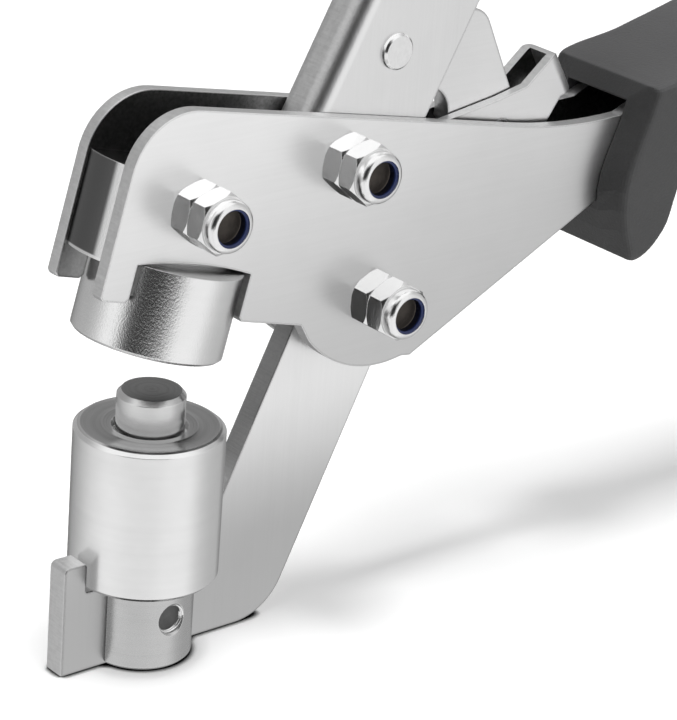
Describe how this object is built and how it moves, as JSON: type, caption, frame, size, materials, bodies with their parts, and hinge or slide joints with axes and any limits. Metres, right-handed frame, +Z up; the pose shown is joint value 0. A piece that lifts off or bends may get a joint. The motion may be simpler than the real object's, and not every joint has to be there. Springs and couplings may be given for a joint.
{
  "type": "grommet setter",
  "caption": "Plier-style hand grommet setter: C-shaped jaw with sprung centre pin, swinging head with upper die, lever linkage and two contoured grips.",
  "frame": {"origin": "the foot of the lower die: the point of its axis that lies in the plane of the jaw's flat foot", "axes": "+Z up along the lower die's axis; +X from the dies towards the handle; +Y across the plates, away from the nuts"},
  "size_m": [0.2009, 0.0253, 0.1938],
  "materials": {
    "plate_steel": "bright zinc plated sheet, satin, sheared edges",
    "turned_steel": "nickel plated, turned",
    "pin_steel": "plain steel, satin",
    "spring_steel": "drawn wire",
    "dark_steel": "black oxide",
    "fastener_zinc": "bright zinc plate",
    "magnet_nickel": "nickel plated magnet",
    "blue_nylon": "blue nylon",
    "black_grip": "black fine-textured moulded grip"
  },
  "bodies": {
    "jaw": {"jaw_plate": "plate_steel", "lower_die": "turned_steel", "die_neck": "turned_steel", "grub_screw": "dark_steel", "pin_spring": "spring_steel", "yoke": "plate_steel", "yoke_rivet": "pin_steel", "link_pin": "pin_steel"},
    "pin": {"centre_pin": "pin_steel"},
    "head": {"jaw_sleeve": "pin_steel", "jaw_washers": "fastener_zinc", "side_plate_near": "plate_steel", "side_plate_far": "plate_steel", "upper_die": "turned_steel", "holding_magnet": "magnet_nickel", "die_bolt": "fastener_zinc", "lever_bolt": "fastener_zinc", "jaw_bolt": "fastener_zinc", "hex_nuts": "fastener_zinc", "lock_nuts": "fastener_zinc", "lock_rings": "blue_nylon", "lever_sleeve": "pin_steel", "handle_spacers": "pin_steel", "handle_rivets": "pin_steel", "handle_grip": "black_grip"},
    "lever": {"lever_channel": "plate_steel", "link_rivet": "fastener_zinc", "lever_grip": "black_grip"},
    "link": {"link_plate": "plate_steel", "link_washers": "fastener_zinc"}
  },
  "joints": [
    {"name": "head_close", "type": "hinge", "parent": "jaw", "child": "head", "pos_m": [0.033, 0, 0.048], "axis": [0, -1, 0], "range_deg": [0, 14.41]},
    {"name": "lever_squeeze", "type": "hinge", "parent": "head", "child": "lever", "pos_m": [0.0261, 0, 0.06898], "axis": [0, 1, 0], "range_deg": [0, 25.5]},
    {"name": "link_swing", "type": "hinge", "parent": "lever", "child": "link", "pos_m": [0.03579, 0, 0.08259], "axis": [0, -1, 0], "range_deg": [0, 22.4]},
    {"name": "pin_press", "type": "slide", "parent": "jaw", "child": "pin", "axis": [0, 0, -1], "range_m": [0, 0.005], "stiffness_N_per_m": 600, "springref_m": -0.002, "deforming": ["pin_spring"]}
  ],
  "couplings": [
    {"joint": "head_close", "follows": "lever_squeeze", "ratio": 0.56471},
    {"joint": "link_swing", "follows": "lever_squeeze", "ratio": 0.876}
  ]
}
